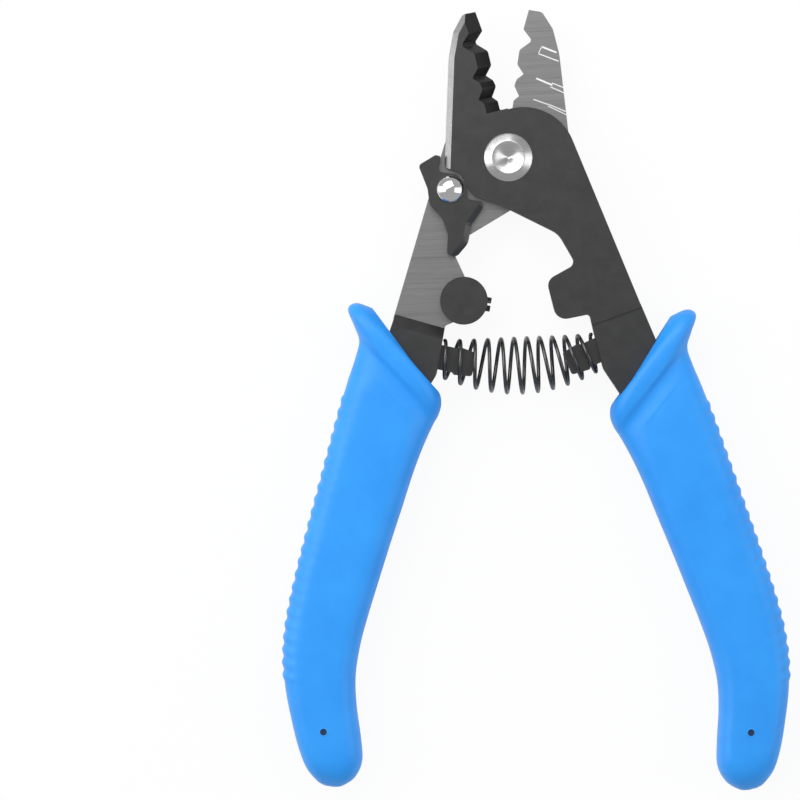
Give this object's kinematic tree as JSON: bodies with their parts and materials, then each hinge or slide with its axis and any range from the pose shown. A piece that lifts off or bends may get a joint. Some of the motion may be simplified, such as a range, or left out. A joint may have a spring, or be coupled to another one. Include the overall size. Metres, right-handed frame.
{
  "type": "fibre stripper",
  "caption": "Hand tool that strips fibre cable in three graded notches: half-lapped sprung levers, strut latch, stop screw and moulded grips.",
  "frame": {"origin": "bottom centre of the open tool's bounding box, on the plane it lies on", "axes": "+Y towards the jaw tips, +Z out of the front face, +X to the right seen from the front"},
  "size_m": [0.1064, 0.1654, 0.0149],
  "materials": {
    "black_steel": "black oxide, ground lap faces",
    "turned_steel": "turned",
    "polished_steel": "polished",
    "spring_steel": "blackened wire",
    "grip": "satin moulded"
  },
  "bodies": {
    "front": {"front_lever": "black_steel", "front_grip": "grip", "pivot_screw": "turned_steel", "pivot_washer": "turned_steel", "pivot_nut": "black_steel", "return_spring": "spring_steel"},
    "rear": {"rear_lever": "black_steel", "rear_grip": "grip", "latch_rivet": "polished_steel", "stop_screw": "black_steel"},
    "latch": {"latch": "black_steel"}
  },
  "joints": [
    {"name": "lever_hinge", "type": "hinge", "parent": "front", "child": "rear", "pos_m": [-0.00161, 0.05184, 0.007], "axis": [0, 0, 1], "range_deg": [0, 23.6], "stiffness_Nm_per_rad": 0.8, "springref_deg": -22.92, "deforming": ["return_spring"]},
    {"name": "latch_swing", "type": "hinge", "parent": "rear", "child": "latch", "pos_m": [-0.01403, 0.04565, 0.007], "axis": [0, 0, 1], "range_deg": [-15.4, 0]}
  ],
  "couplings": [
    {"joint": "latch_swing", "follows": "lever_hinge", "ratio": -0.65}
  ]
}
